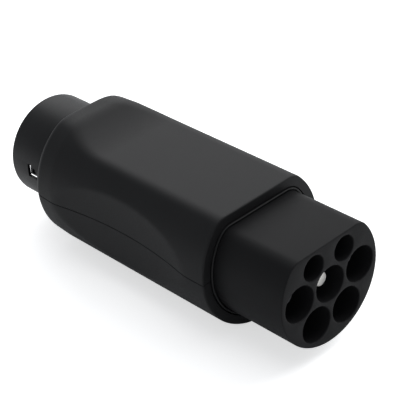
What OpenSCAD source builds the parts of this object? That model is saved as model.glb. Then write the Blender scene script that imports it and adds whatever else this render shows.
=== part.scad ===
// Charging adapter for electric vehicles. A seven-well plug with male pins is at
// the front, a round five-pin inlet for the cable's connector is at the rear, and
// a grip body of two shells joins them. X runs along the length, with the plug at
// the +X end, and Z is up. The part rests on the small flat under the grip body.
// Places along X are counted from the plug's face, and grow smaller to the rear.

/* [Grip body] */
// Length of the two shells
body_len = 106.1; // [104:0.1:110]
// How far the round sides of the body stand out beyond the plug
body_step = 5.65; // [5.5:0.05:7]
// How far the flat top of the body stands above the plug's
body_rise = 5.6; // [5.2:0.1:6.2]
// Rounding between the flat top and the round sides
body_corner = 8; // [4:0.5:10]
// How far the small flat is cut into the underside of the body
foot_cut = 1.05; // [0.7:0.05:1.4]
// Wall thickness of the shells
shell_wall = 2.8; // [2.4:0.1:3]
// Depth of the grip scoop in each side
scoop_depth = 4.25; // [2:0.05:4.5]
// Radius of the scoop, seen from above
scoop_r = 190; // [180:5:260]
// Distance from the front of the body to the middle of the scoop
scoop_at = 51.6; // [50:0.2:54]
// Distance from the rear of the body to the foot of the ramp
ramp_at = 35.5; // [34.1:0.2:38.1]
// Radius of the hollow ramp that climbs to the collar
ramp_r = 60; // [58:1:75]
// Distance from the rear of the body to the ridge where the collar begins
ridge_at = 12; // [11.1:0.1:14.1]
// Loss of radius from the ridge to the rear edge
collar_taper = 0.7; // [0.3:0.1:1]
// Rounding of the rear edge
collar_round = 4; // [2:0.5:4.5]

/* [Plug] */
// Length of the plug in front of the body
nose_len = 36.4; // [35:0.1:38]
// Wall outside the outermost wells
plug_rim = 2.15; // [1.9:0.05:2.4]
// Height of the plug's flat top above the axis
nose_top = 19.2; // [19:0.1:20]
// Rounding between the plug's flat top and its round sides
nose_corner = 7; // [4:0.5:8]
// Wall between two power wells
well_land = 1.5; // [1.3:0.05:1.7]
// Radius of the five power wells
power_well_r = 7.75; // [7.4:0.05:7.8]
// Radius of the two signal wells
signal_well_r = 5.45; // [5.2:0.05:5.5]
// Height of the signal wells above the axis
signal_row = 12; // [11.8:0.1:12.2]
// Depth of the wells
well_depth = 34; // [33:0.5:34.5]
// Radius of the power and earth pins
power_pin_r = 3; // [2.8:0.05:3.1]
// Radius of the signal pins
signal_pin_r = 1.5; // [1.3:0.05:1.6]
// Distance from the plug's face to the tip of the earth pin
earth_set_back = 4.8; // [4.6:0.1:7]
// Distance from the plug's face to the tips of the power pins
power_set_back = 6.6; // [6:0.1:8]
// Distance from the plug's face to the tips of the signal pins
signal_set_back = 13; // [12:0.5:16]
// Width of the sealing lip round the plug
lip_w = 0.8; // [0.6:0.1:1]
// Height of the sealing lip in front of the body
lip_out = 0.5; // [0.2:0.1:1]

/* [Inlet] */
// Length of the inlet barrel behind the body
barrel_len = 26.6; // [25:0.1:28]
// Outer radius of the inlet barrel
barrel_r = 23.3; // [23.2:0.05:23.6]
// Wall thickness of the barrel
barrel_wall = 1.35; // [1.3:0.05:1.5]
// Radius of the inlet's power pins
inlet_power_r = 1.8; // [1.7:0.05:1.9]
// Radius of the inlet's earth pin
inlet_earth_r = 1.4; // [1.3:0.05:1.5]
// Radius of the inlet's signal pins
inlet_signal_r = 0.75; // [0.7:0.05:0.8]
// Width of the ring gap between barrel and insert
ring_gap = 4.55; // [4.3:0.05:4.8]
// Distance from the barrel's rim to the insert's face
insert_back = 5.5; // [4.5:0.1:6.5]
// Radius of the insert's two power wells
inlet_power_well_r = 5; // [4.7:0.05:5.1]
// Radius of the insert's earth well
inlet_earth_well_r = 4.6; // [4.3:0.05:4.8]
// Radius of the insert's signal wells
inlet_signal_well_r = 3.2; // [3:0.05:3.4]
// Distance from the barrel's rim to the tip of the earth pin
inlet_set_back = 8; // [7.6:0.1:9]
// Size of the clip opening along the barrel
clip_len = 6.2; // [5:0.1:6.4]
// Size of the clip opening round the barrel
clip_h = 6.1; // [5:0.1:6.4]
// Distance from the barrel's rim to the clip opening
clip_at = 11.2; // [10.8:0.1:12]
// Width of the slot that frees the clip
clip_slot = 2.1; // [1.2:0.1:2.2]

/* [Screws] */
// Distance from the rear of the body to its first pair of screws
screw_first = 21.1; // [20.6:0.5:25.1]
// Distance between the two pairs of screws
screw_pitch = 40; // [30:1:44]
// Distance of each screw from the middle plane
screw_side = 18; // [16:0.5:19]

/* [Wiring] */
// Outer radius of the three power leads
power_lead_r = 2.3; // [2:0.1:2.5]
// Outer radius of the two signal leads
signal_lead_r = 1.1; // [1.1:0.05:1.2]

/* [Hidden] */
$fn = 96;

// Clearances between pieces
fit_gap = 0.15;
loose_gap = 0.35;
// A little more than a cut needs, so that it leaves no skin
over = 1;

// Sizes across the axis, each built on the one inside it
well_pitch = 2 * power_well_r + well_land;
nose_r = well_pitch + power_well_r + plug_rim;
body_r = nose_r + body_step;
body_top = nose_top + body_rise;
axis_height = body_r - foot_cut;
barrel_bore_r = barrel_r - barrel_wall;
insert_r = barrel_bore_r - ring_gap;

// Planes along X, from the plug's face at 0 to the barrel's rim
body_front = -nose_len;
body_rear = body_front - body_len;
rim_x = body_rear - barrel_len;
scoop_x = body_front - scoop_at;
ramp_x = body_rear + ramp_at;
ridge_x = body_rear + ridge_at;

// The ramp is an arc about a line high above its foot
ramp_centre = body_top + ramp_r;
ramp_angle = asin((ramp_x - ridge_x) / ramp_r);
collar_top = ramp_centre - ramp_r * cos(ramp_angle);

// Front end, from the body's face inwards
seal_foot = 1;
flange_x = body_front - shell_wall - seal_foot;
flange_len = 4;
nose_rear = flange_x - flange_len;
flange_r = body_r - shell_wall - loose_gap;
flange_top = body_top - shell_wall - loose_gap;
lip_gap = 0.3;
mouth_gap = lip_gap + lip_w + 0.6;
seal_foot_w = min(body_step, body_rise) - shell_wall - 0.5;
carrier_plate = 4;
carrier_rear = nose_rear - carrier_plate;
nose_plate = 2;
plate_rear = carrier_rear - nose_plate;
plate_inset = 0.9;
rib = 2.5;

// Wells and pins of the plug, as [y, z]
l1_well = [-well_pitch, 0];
n_well = [well_pitch, 0];
pe_well = [0, 0];
cp_well = [-well_pitch / 2, signal_row];
cc_well = [well_pitch / 2, signal_row];
low_row = -well_pitch * sqrt(3) / 2;
spare_wells = [for (side = [-1, 1]) [side * well_pitch / 2, low_row]];
power_wells = concat([l1_well, n_well, pe_well], spare_wells);
signal_wells = [cp_well, cc_well];
pin_step = 0.5;
tail_step = 0.4;
collar_len = 3;
collar_out = 1.5;
plug_tail = 10.5;
plug_tail_end = plate_rear - plug_tail;
cap_len = 3.6;
cap_stem_r = power_pin_r / 2;
nose_screw_side = [nose_r - 7.9, well_pitch - 7];
nose_screw_low = nose_r - 4.4;
nose_screws = [[-nose_screw_side[0], nose_screw_side[1]], nose_screw_side, [0, -nose_screw_low]];
nose_screw_r = 1.2;
nose_screw_bite = 6;

// Rear end, from the cavity's floor inwards
cavity_x = body_rear + 1;
floor_len = 8;
floor_x = cavity_x + floor_len;
barrel_flange_x = body_rear + shell_wall + 0.1;
barrel_flange_len = 3;
barrel_flange_r = body_r - collar_taper - shell_wall - 1;
barrel_flange_top = collar_top - shell_wall - loose_gap;
insert_face = rim_x + insert_back;
clip_low = -1.9;
clip_eye = 2.3;
notch_back = 6.4;
notch_len = 5.4;
notch_w = 9;
notch_deep = 0.9;
inlet_carrier_plate = 2.5;
insert_rear = floor_x + inlet_carrier_plate;
inlet_plate = 2.5;
inlet_plate_x = insert_rear + inlet_plate;
inlet_plate_r = barrel_r - 0.1;
inlet_tail = 9;
inlet_tail_end = inlet_plate_x + inlet_tail;

// Pins of the inlet, as [y, z], each set in from the insert's edge
power_in = [9.5, 10.6];
earth_in = 6.8;
signal_in = 6.7;
signal_low = 4.6;
inlet_l1 = [power_in[0] - insert_r, insert_r - power_in[1]];
inlet_n = [insert_r - power_in[0], insert_r - power_in[1]];
inlet_pe = [0, earth_in - insert_r];
inlet_cp = [signal_in - insert_r, -signal_low];
inlet_pp = [insert_r - signal_in, -signal_low];
inlet_screw_ring = insert_r + 2.1;
inlet_screws = [for (turn = [90, 210, 330]) inlet_screw_ring * [cos(turn), sin(turn)]];
inlet_screw_r = 1;
inlet_screw_bite = 5;
inlet_pin_step = 0.4;
inlet_collar_len = 2;
inlet_collar_out = 1.2;
power_cup_out = 0.7;
signal_cup_out = 0.55;

// Leads: a bare core in the pin's cup, then the jacket
core_in = 5;
seam = 0.02;
power_run = 2;
signal_run = 20;
power_bend = plug_tail_end - power_run;
signal_bend = plug_tail_end - signal_run;
power_bend_len = 20;
earth_bend_len = 24;
signal_drop = [13, 14, 28];
signal_aside = [14.5, 5];
power_core_r = power_lead_r - 0.7;
signal_core_r = 0.5;
resistor_out = 5.8;
resistor_x = inlet_tail_end + resistor_out;

// Screws that hold the shells together, as [x, y]
rear_screws = body_rear + screw_first;
screw_rows = [rear_screws + screw_pitch, rear_screws];
screw_places = [for (x = screw_rows) for (side = [-1, 1]) [x, side * screw_side]];
screw_r = 1.5;
screw_head_r = 2.75;
screw_head_len = 2.2;
screw_seat = -18;
screw_tip = 8;
boss_r = 4.6;

// Tongue of the lower shell that enters the upper shell
tongue_h = 2;
tongue_out = shell_wall / 2;

// Round bar along X between two places
module rod(from, to, r) {
    translate([min(from, to), 0, 0]) rotate([0, 90, 0]) cylinder(r = r, h = abs(to - from));
}

// Drawn section, with y to the right and z up, run along X between two places
module run(from, to) {
    translate([min(from, to), 0, 0]) rotate([90, 0, 90]) linear_extrude(abs(to - from)) children();
}

// Round bar along X whose edge is rounded at its tip
module tipped_rod(tip, tail, r, edge) {
    length = abs(tail - tip);
    translate([tip, 0, 0]) rotate([0, tail > tip ? 90 : -90, 0]) rotate_extrude() {
        square([r - edge, length]);
        translate([0, edge]) square([r, length - edge]);
        intersection() {
            translate([r - edge, edge]) circle(edge);
            square([r, edge]);
        }
    }
}

// Moves a piece onto a well or pin, given as [y, z]
module at(place) {
    translate([0, place[0], place[1]]) children();
}

// Circle with a flat top and rounded corners
module flat_topped(r, top, corner) {
    side = sqrt(pow(r - corner, 2) - pow(top - corner, 2));
    meet = r * (top - corner) / (r - corner);
    difference() {
        circle(r);
        translate([-r, meet]) square([2 * r, r]);
    }
    translate([-side, 0]) square([2 * side, top]);
    for (hand = [-1, 1]) translate([hand * side, top - corner]) circle(corner);
}

// Trims a section where the shell's flat underside comes in
module clear_of_floor() {
    difference() {
        children();
        translate([-body_r, -axis_height + shell_wall + loose_gap - body_r]) square([2 * body_r, body_r]);
    }
}

// What a flat-topped circle lacks of the full circle
module flat_top_waste(r, top, corner) {
    side = sqrt(pow(r - corner, 2) - pow(top - corner, 2));
    meet = r * (top - corner) / (r - corner);
    difference() {
        translate([-r - over, meet]) square([2 * r + 2 * over, r]);
        translate([-side, meet - over]) square([2 * side, top - meet + over]);
        for (hand = [-1, 1]) translate([hand * side, top - corner]) circle(corner);
    }
}

// Half outline of the body, turned about the axis
module body_outline(r, front, rear, edge) {
    rear_r = r - collar_taper;
    polygon([[0, front], [r, front], [r, ridge_x], [rear_r, rear + edge], [0, rear + edge]]);
    translate([0, rear]) square([rear_r - edge, edge]);
    intersection() {
        translate([rear_r - edge, rear + edge]) circle(edge);
        translate([0, rear]) square([rear_r, edge]);
    }
}

// The body's form, drawn in by an inset all round and by another at its ends
module body_form(inset, ends) {
    r = body_r - inset;
    top = body_top - inset;
    front = body_front - ends;
    sweep = acos((ramp_r * cos(ramp_angle) + inset) / (ramp_r + inset));
    difference() {
        rotate([0, 90, 0]) rotate_extrude() {
            body_outline(r, front, body_rear + ends, max(collar_round - inset, 1));
        }
        run(ramp_x, body_front + over) flat_top_waste(r, top, body_corner);
        translate([ramp_x, 0, ramp_centre]) rotate([-90, 90, 0]) rotate_extrude(angle = sweep + 3) {
            translate([ramp_centre, 0]) rotate(90) flat_top_waste(r, top, body_corner);
        }
        translate([rim_x, -body_r, collar_top - inset]) cube([-rim_x, 2 * body_r, body_r]);
        translate([rim_x, -body_r, -axis_height + inset - body_r]) cube([-rim_x, 2 * body_r, body_r]);
        for (hand = [-1, 1]) {
            translate([scoop_x, hand * (body_r - scoop_depth + scoop_r), 0])
                cylinder(r = scoop_r + inset, h = 3 * body_r, center = true, $fn = 360);
        }
    }
}

// Both shells in one, with the ribs that trap the flanges of plug and barrel
module shell_wall_and_ribs() {
    difference() {
        body_form(0, 0);
        body_form(shell_wall, shell_wall);
        run(body_front - shell_wall - over, body_front + over) {
            flat_topped(nose_r + mouth_gap, nose_top + mouth_gap, nose_corner + mouth_gap);
        }
        rod(body_rear - over, body_rear + shell_wall + over, barrel_r + loose_gap);
    }
    intersection() {
        body_form(shell_wall / 2, shell_wall / 2);
        union() {
            difference() {
                run(nose_rear - 0.1 - rib, nose_rear - 0.1) square(2 * body_r, center = true);
                run(nose_rear - over - rib, nose_rear + over) {
                    flat_topped(nose_r + 0.6, nose_top + 0.6, nose_corner);
                }
            }
            difference() {
                run(barrel_rib_x(), barrel_rib_x() + rib) square(2 * body_r, center = true);
                rod(barrel_rib_x() - over, barrel_rib_x() + rib + over, barrel_r + rib);
            }
        }
    }
}

function barrel_rib_x() = barrel_flange_x + barrel_flange_len + 0.1;

// Everything above or below the parting plane
module above(height) {
    translate([rim_x, -2 * body_r, height]) cube([-rim_x, 4 * body_r, 2 * body_r]);
}

module below(height) {
    translate([rim_x, -2 * body_r, height - 2 * body_r]) cube([-rim_x, 4 * body_r, 2 * body_r]);
}

// Ring between two insets of the body's form, from the parting plane upwards
module tongue_ring(outer, inner, height) {
    intersection() {
        difference() {
            body_form(outer, shell_wall + loose_gap);
            body_form(inner, shell_wall / 2);
        }
        above(0);
        below(height);
    }
}

module upper_shell() {
    color([0.1, 0.1, 0.105]) {
        difference() {
            union() {
                intersection() {
                    shell_wall_and_ribs();
                    above(0);
                }
                intersection() {
                    body_form(shell_wall / 2, shell_wall);
                    for (place = screw_places) {
                        translate([place[0], place[1], 0]) cylinder(r = boss_r, h = body_r);
                    }
                }
            }
            tongue_ring(tongue_out - fit_gap, shell_wall + fit_gap, tongue_h + fit_gap);
            for (place = screw_places) {
                translate([place[0], place[1], -over]) cylinder(r = screw_r + 0.05, h = screw_tip + over + 1);
            }
        }
    }
}

module lower_shell() {
    color([0.09, 0.09, 0.095]) {
        difference() {
            union() {
                intersection() {
                    shell_wall_and_ribs();
                    below(0);
                }
                intersection() {
                    body_form(shell_wall / 2, shell_wall);
                    for (place = screw_places) {
                        translate([place[0], place[1], -body_r]) cylinder(r = boss_r, h = body_r);
                    }
                }
                tongue_ring(tongue_out, shell_wall, tongue_h);
            }
            for (place = screw_places) translate([place[0], place[1], -body_r]) {
                cylinder(r = screw_r + fit_gap, h = body_r + over);
                cylinder(r = screw_head_r + fit_gap, h = body_r + screw_seat);
            }
        }
    }
}

// Pan-head screws from below, with a six-sided socket
module shell_screws() {
    color([0.55, 0.56, 0.58])
    for (place = screw_places) translate([place[0], place[1], 0]) difference() {
        union() {
            translate([0, 0, screw_seat - screw_head_len]) cylinder(r = screw_head_r, h = screw_head_len);
            translate([0, 0, screw_seat]) cylinder(r = screw_r, h = screw_tip - screw_seat);
        }
        translate([0, 0, screw_seat - screw_head_len - over]) cylinder(r = 1.4, h = 1.3 + over, $fn = 6);
    }
}

// Insulator of the plug: seven wells that run through it, and a flange at its rear
module nose_body() {
    color([0.12, 0.12, 0.125])
    difference() {
        union() {
            run(nose_rear, 0) flat_topped(nose_r, nose_top, nose_corner);
            run(nose_rear, flange_x) clear_of_floor() flat_topped(flange_r, flange_top, nose_corner + 2);
        }
        for (well = power_wells) at(well) rod(nose_rear - over, over, power_well_r);
        for (well = signal_wells) at(well) rod(nose_rear - over, over, signal_well_r);
        for (screw = nose_screws) at(screw) {
            rod(nose_rear - over, nose_rear + nose_screw_bite + 1, nose_screw_r + 0.05);
        }
    }
}

// Plate behind the plug with seven spigots, whose ends are the floors of the wells
module pin_carrier() {
    color([0.2, 0.2, 0.205])
    difference() {
        union() {
            run(carrier_rear, nose_rear) plate_section();
            for (well = power_wells) at(well) rod(nose_rear - over, -well_depth, power_well_r - fit_gap);
            for (well = signal_wells) at(well) rod(nose_rear - over, -well_depth, signal_well_r - fit_gap);
        }
        for (well = [l1_well, n_well, pe_well]) at(well) pin_hole(power_pin_r);
        for (well = signal_wells) at(well) pin_hole(signal_pin_r);
        for (screw = nose_screws) at(screw) {
            rod(carrier_rear - over, nose_rear + over, nose_screw_r + fit_gap);
        }
    }
}

module plate_section() {
    flat_topped(nose_r - plate_inset, nose_top - plate_inset, nose_corner);
}

// Hole through a well's floor, with the counterbore behind it
module pin_hole(r) {
    rod(carrier_rear - over, -well_depth + over, r + pin_step + 0.05);
    rod(carrier_rear - over, carrier_rear + collar_len, r + collar_out + fit_gap);
}

// Rubber ring: a foot between flange and shell, and a lip that shows round the plug
module nose_seal() {
    color([0.05, 0.05, 0.05])
    difference() {
        union() {
            run(flange_x, body_front + lip_out) seal_section(lip_gap + lip_w);
            run(flange_x, flange_x + seal_foot) clear_of_floor() seal_section(seal_foot_w);
        }
        run(flange_x - over, body_front + lip_out + over) seal_section(lip_gap);
        run(flange_x - over, flange_x) square(4 * body_r, center = true);
    }
}

module seal_section(out) {
    flat_topped(nose_r + out, nose_top + out, nose_corner + out);
}

// Plate that traps the collars of the plug's pins
module nose_retainer() {
    color([0.3, 0.3, 0.31])
    difference() {
        run(plate_rear, carrier_rear) plate_section();
        for (well = [l1_well, n_well, pe_well]) at(well) plate_hole(power_pin_r);
        for (well = signal_wells) at(well) plate_hole(signal_pin_r);
        for (screw = nose_screws) at(screw) plate_hole(nose_screw_r);
    }
}

module plate_hole(r) {
    rod(plate_rear - over, carrier_rear + over, r + fit_gap);
}

module nose_retainer_screws() {
    color([0.6, 0.6, 0.62])
    for (screw = nose_screws) at(screw) {
        rod(plate_rear, nose_rear + nose_screw_bite, nose_screw_r);
        difference() {
            rod(plate_rear - 1.6, plate_rear, 2.3);
            rod(plate_rear - 1.6 - over, plate_rear - 0.7, $fn = 6, r = 1.1);
        }
    }
}

// Turned pin of the plug: free length, a thicker part in its hole, a collar, and a
// thinner tail with a cup for the lead's core
module plug_pin(set_back, r, core_r) {
    edge = r * 0.3;
    difference() {
        union() {
            tipped_rod(-set_back, -well_depth - over, r, edge);
            rod(carrier_rear, -well_depth, r + pin_step);
            rod(carrier_rear, carrier_rear + collar_len, r + collar_out);
            rod(plug_tail_end, carrier_rear + over, r - tail_step);
        }
        rod(plug_tail_end - over, plug_tail_end + core_in + 0.5, core_r + 0.05);
    }
}

// A power pin ends in a stem that carries a plastic cap
module capped_pin() {
    shoulder = power_set_back + cap_len;
    difference() {
        plug_pin(power_set_back, power_pin_r, power_core_r);
        difference() {
            rod(-shoulder, over, power_pin_r + over);
            rod(-shoulder - over, -power_set_back - 1, cap_stem_r);
        }
    }
}

module pin_cap() {
    shoulder = power_set_back + cap_len;
    color([0.16, 0.16, 0.17])
    difference() {
        union() {
            tipped_rod(-power_set_back, -shoulder, power_pin_r, power_pin_r * 0.3);
        }
        rod(-shoulder - over, -power_set_back - 0.95, cap_stem_r + 0.02);
    }
}

module plug_pin_l1() {
    color("silver") at(l1_well) capped_pin();
}

module plug_pin_n() {
    color("silver") at(n_well) capped_pin();
}

module plug_pin_pe() {
    color("silver") at(pe_well) plug_pin(earth_set_back, power_pin_r, power_core_r);
}

module plug_pin_cp() {
    color("silver") at(cp_well) plug_pin(signal_set_back, signal_pin_r, signal_core_r);
}

module plug_pin_cc() {
    color("silver") at(cc_well) plug_pin(signal_set_back, signal_pin_r, signal_core_r);
}

module pin_cap_l1() {
    at(l1_well) pin_cap();
}

module pin_cap_n() {
    at(n_well) pin_cap();
}

// Shroud of the inlet, with a clip in each side and a latch notch on top
module inlet_barrel() {
    color([0.12, 0.12, 0.125])
    difference() {
        union() {
            tipped_rod(rim_x, floor_x, barrel_r, 0.5);
            run(barrel_flange_x, barrel_flange_x + barrel_flange_len) {
                flat_topped(barrel_flange_r, barrel_flange_top, nose_corner);
            }
        }
        rod(rim_x - over, cavity_x, barrel_bore_r);
        rod(cavity_x - over, floor_x + over, insert_r + fit_gap);
        rotate([0, 90, 0]) translate([0, 0, o_ring_x()]) rotate_extrude() {
            translate([barrel_r - 1.1, -0.9]) square([1.1 + over, 1.8]);
        }
        for (turn = [0, 180]) rotate([turn, 0, 0]) clip_opening();
        translate([body_rear - notch_back, -notch_w / 2, barrel_r - notch_deep]) {
            cube([notch_len, notch_w, notch_deep + over]);
        }
        for (screw = inlet_screws) at(screw) {
            rod(floor_x - inlet_screw_bite - 1, floor_x + over, inlet_screw_r + 0.05);
        }
    }
}

// Insert that stands in the shroud: five wells that run through it, one for each pin
module inlet_insert() {
    color([0.13, 0.13, 0.135])
    difference() {
        rod(insert_face, floor_x, insert_r);
        for (pin = [inlet_l1, inlet_n]) at(pin) inlet_well(inlet_power_well_r);
        at(inlet_pe) inlet_well(inlet_earth_well_r);
        for (pin = [inlet_cp, inlet_pp]) at(pin) inlet_well(inlet_signal_well_r);
    }
}

module inlet_well(r) {
    rod(insert_face - over, floor_x + over, r);
}

// Plate behind the insert with five spigots, whose ends are the floors of the wells
module inlet_carrier() {
    color([0.2, 0.2, 0.205])
    difference() {
        union() {
            rod(floor_x, insert_rear, inlet_plate_r);
            for (pin = [inlet_l1, inlet_n]) at(pin) inlet_spigot(inlet_power_well_r);
            at(inlet_pe) inlet_spigot(inlet_earth_well_r);
            for (pin = [inlet_cp, inlet_pp]) at(pin) inlet_spigot(inlet_signal_well_r);
        }
        for (pin = [inlet_l1, inlet_n]) at(pin) inlet_pin_hole(inlet_power_r);
        at(inlet_pe) inlet_pin_hole(inlet_earth_r);
        for (pin = [inlet_cp, inlet_pp]) at(pin) inlet_pin_hole(inlet_signal_r);
        for (screw = inlet_screws) at(screw) rod(floor_x - over, insert_rear + over, inlet_screw_r + fit_gap);
    }
}

module inlet_spigot(well_r) {
    rod(cavity_x, floor_x + over, well_r - fit_gap);
}

module inlet_pin_hole(r) {
    rod(cavity_x - over, insert_rear + over, r + inlet_pin_step + 0.05);
    rod(insert_rear - inlet_collar_len, insert_rear + over, r + inlet_collar_out + fit_gap);
}

function o_ring_x() = body_rear + shell_wall / 2;

// L-shaped slot round a tab, and a square eye in the tab, on the -Y side
module clip_opening() {
    start = rim_x + clip_at;
    translate([start, -barrel_r - over, clip_low]) cube([clip_slot, 4 * over, clip_h]);
    translate([start, -barrel_r - over, clip_low]) cube([clip_len, 4 * over, clip_slot]);
    translate([start + clip_slot + 1.1, -barrel_r - over, clip_low + clip_slot + 0.6]) {
        cube([clip_eye, over + 0.8, clip_eye]);
    }
}

module inlet_o_ring() {
    color([0.04, 0.04, 0.04])
    rotate([0, 90, 0]) translate([0, 0, o_ring_x()]) rotate_extrude() {
        translate([barrel_r - 0.45, 0]) circle(0.65);
    }
}

module inlet_retainer() {
    color([0.3, 0.3, 0.31])
    difference() {
        rod(insert_rear, inlet_plate_x, inlet_plate_r);
        for (pin = [inlet_l1, inlet_n]) at(pin) retainer_hole(inlet_power_r + power_cup_out);
        at(inlet_pe) retainer_hole(inlet_earth_r + power_cup_out + inlet_power_r - inlet_earth_r);
        for (pin = [inlet_cp, inlet_pp]) at(pin) retainer_hole(inlet_signal_r + signal_cup_out);
        for (screw = inlet_screws) at(screw) retainer_hole(inlet_screw_r);
    }
}

module retainer_hole(r) {
    rod(insert_rear - over, inlet_plate_x + over, r + fit_gap);
}

module inlet_retainer_screws() {
    color([0.6, 0.6, 0.62])
    for (screw = inlet_screws) at(screw) {
        rod(floor_x - inlet_screw_bite, inlet_plate_x, inlet_screw_r);
        difference() {
            rod(inlet_plate_x, inlet_plate_x + 1.5, 1.9);
            rod(inlet_plate_x + 0.7, inlet_plate_x + 1.5 + over, $fn = 6, r = 1);
        }
    }
}

// Turned pin of the inlet, with its tip to the rear
module inlet_pin(set_back, r, cup_r, core_r) {
    edge = r * 0.45;
    difference() {
        union() {
            tipped_rod(rim_x + set_back, cavity_x + over, r, edge);
            rod(cavity_x, insert_rear, r + inlet_pin_step);
            rod(insert_rear - inlet_collar_len, insert_rear, r + inlet_collar_out);
            rod(insert_rear, inlet_tail_end, cup_r);
        }
        rod(inlet_tail_end - core_in - 0.5, inlet_tail_end + over, core_r + 0.05);
    }
}

power_cup_r = inlet_power_r + power_cup_out;
signal_cup_r = inlet_signal_r + signal_cup_out;

module inlet_pin_l1() {
    color("silver") at(inlet_l1) inlet_pin(inlet_set_back + 1, inlet_power_r, power_cup_r, power_core_r);
}

module inlet_pin_n() {
    color("silver") at(inlet_n) inlet_pin(inlet_set_back + 1, inlet_power_r, power_cup_r, power_core_r);
}

module inlet_pin_pe() {
    color("silver") at(inlet_pe) inlet_pin(inlet_set_back, inlet_earth_r, power_cup_r, power_core_r);
}

module inlet_pin_cp() {
    color("silver") at(inlet_cp) inlet_pin(inlet_set_back + 3.5, inlet_signal_r, signal_cup_r, signal_core_r);
}

module inlet_pin_pp() {
    color("silver") at(inlet_pp) inlet_pin(inlet_set_back + 3.5, inlet_signal_r, signal_cup_r, signal_core_r);
}

// Two equal arcs that shift a lead from one [y, z] to another on its way to the rear.
// A ball that is a hair larger joins them where they meet.
module s_bend(from, to, start, end, r) {
    shift = norm(to - from);
    length = start - end;
    bend_r = (length * length + shift * shift) / (4 * shift);
    turn = 2 * atan(shift / length);
    lean = atan2(to[1] - from[1], to[0] - from[0]);
    at(from) translate([start, 0, 0]) rotate([lean, 0, 0]) arc(bend_r, turn, r);
    at(to) translate([end, 0, 0]) rotate([lean, 0, 0]) rotate(180) arc(bend_r, turn, r);
    at((from + to) / 2) translate([(start + end) / 2, 0, 0]) sphere(r + seam);
}

// Arc that leaves along -X and bends towards +Y
module arc(bend_r, turn, r) {
    translate([0, bend_r, 0]) rotate([180, 0, -90]) rotate_extrude(angle = turn) {
        translate([bend_r, 0]) circle(r);
    }
}

// Jacketed lead from a plug pin to an inlet pin, with a bare core in the cup at each end.
// Its stations are [x where the bend starts, x where it ends, next place as [y, z]].
module lead(plug, stations, r, core_r) {
    last = len(stations) - 1;
    places = concat([plug], [for (station = stations) station[2]]);
    starts = concat([plug_tail_end], [for (station = stations) station[1]]);
    for (i = [0 : last]) {
        at(places[i]) rod(starts[i], stations[i][0], r);
        s_bend(places[i], places[i + 1], stations[i][0], stations[i][1], r);
    }
    at(places[last + 1]) rod(stations[last][1], inlet_tail_end, r);
    at(plug) rod(plug_tail_end, plug_tail_end + core_in, core_r);
    at(places[last + 1]) rod(inlet_tail_end - core_in, inlet_tail_end, core_r);
}

module power_lead(plug, inlet, bend_len) {
    lead(plug, [[power_bend, power_bend - bend_len, inlet]], power_lead_r, power_core_r);
}

module lead_l1() {
    color([0.36, 0.2, 0.1]) power_lead(l1_well, inlet_l1, power_bend_len);
}

module lead_n() {
    color([0.1, 0.25, 0.6]) power_lead(n_well, inlet_n, power_bend_len);
}

module lead_pe() {
    color([0.3, 0.6, 0.1]) power_lead(pe_well, inlet_pe, earth_bend_len);
}

// The signal leads pass outside the power leads before they drop
module signal_lead(plug, inlet, hand) {
    aside = [hand * signal_aside[0], signal_aside[1]];
    first = [signal_bend, signal_bend - signal_drop[0], aside];
    second = [signal_bend - signal_drop[1], signal_bend - signal_drop[2], inlet];
    lead(plug, [first, second], signal_lead_r, signal_core_r);
}

module lead_cp() {
    color([0.8, 0.8, 0.8]) signal_lead(cp_well, inlet_cp, -1);
}

module lead_cc() {
    color([0.75, 0.45, 0.1]) signal_lead(cc_well, inlet_pp, 1);
}

// Resistor that tells the vehicle the cable's rating, bridged from signal to earth
module coding_resistor() {
    from = [resistor_x, inlet_pe[0], inlet_pe[1]];
    to = [resistor_x, inlet_pp[0], inlet_pp[1]];
    step = (to - from) / norm(to - from);
    wire_from = from + step * power_lead_r;
    wire_to = to - step * signal_lead_r;
    middle = (wire_from + wire_to) / 2;
    color([0.75, 0.66, 0.5]) {
        bar(wire_from, wire_to, 0.3);
        bar(middle - step * 3, middle + step * 3, 1.2);
    }
}

module bar(a, b, r) {
    step = b - a;
    length = norm(step);
    translate(a) rotate([0, acos(step[2] / length), atan2(step[1], step[0])]) cylinder(r = r, h = length);
}

module placed() {
    translate([-rim_x / 2, 0, axis_height]) children();
}

placed() {
    upper_shell();
    lower_shell();
    shell_screws();
    nose_body();
    nose_seal();
    pin_carrier();
    nose_retainer();
    nose_retainer_screws();
    plug_pin_l1();
    plug_pin_n();
    plug_pin_pe();
    plug_pin_cp();
    plug_pin_cc();
    pin_cap_l1();
    pin_cap_n();
    inlet_barrel();
    inlet_insert();
    inlet_carrier();
    inlet_o_ring();
    inlet_retainer();
    inlet_retainer_screws();
    inlet_pin_l1();
    inlet_pin_n();
    inlet_pin_pe();
    inlet_pin_cp();
    inlet_pin_pp();
    lead_l1();
    lead_n();
    lead_pe();
    lead_cp();
    lead_cc();
    coding_resistor();
}
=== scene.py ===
import math

import bmesh
import bpy
import numpy as np
from mathutils import Matrix, Vector


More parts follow.
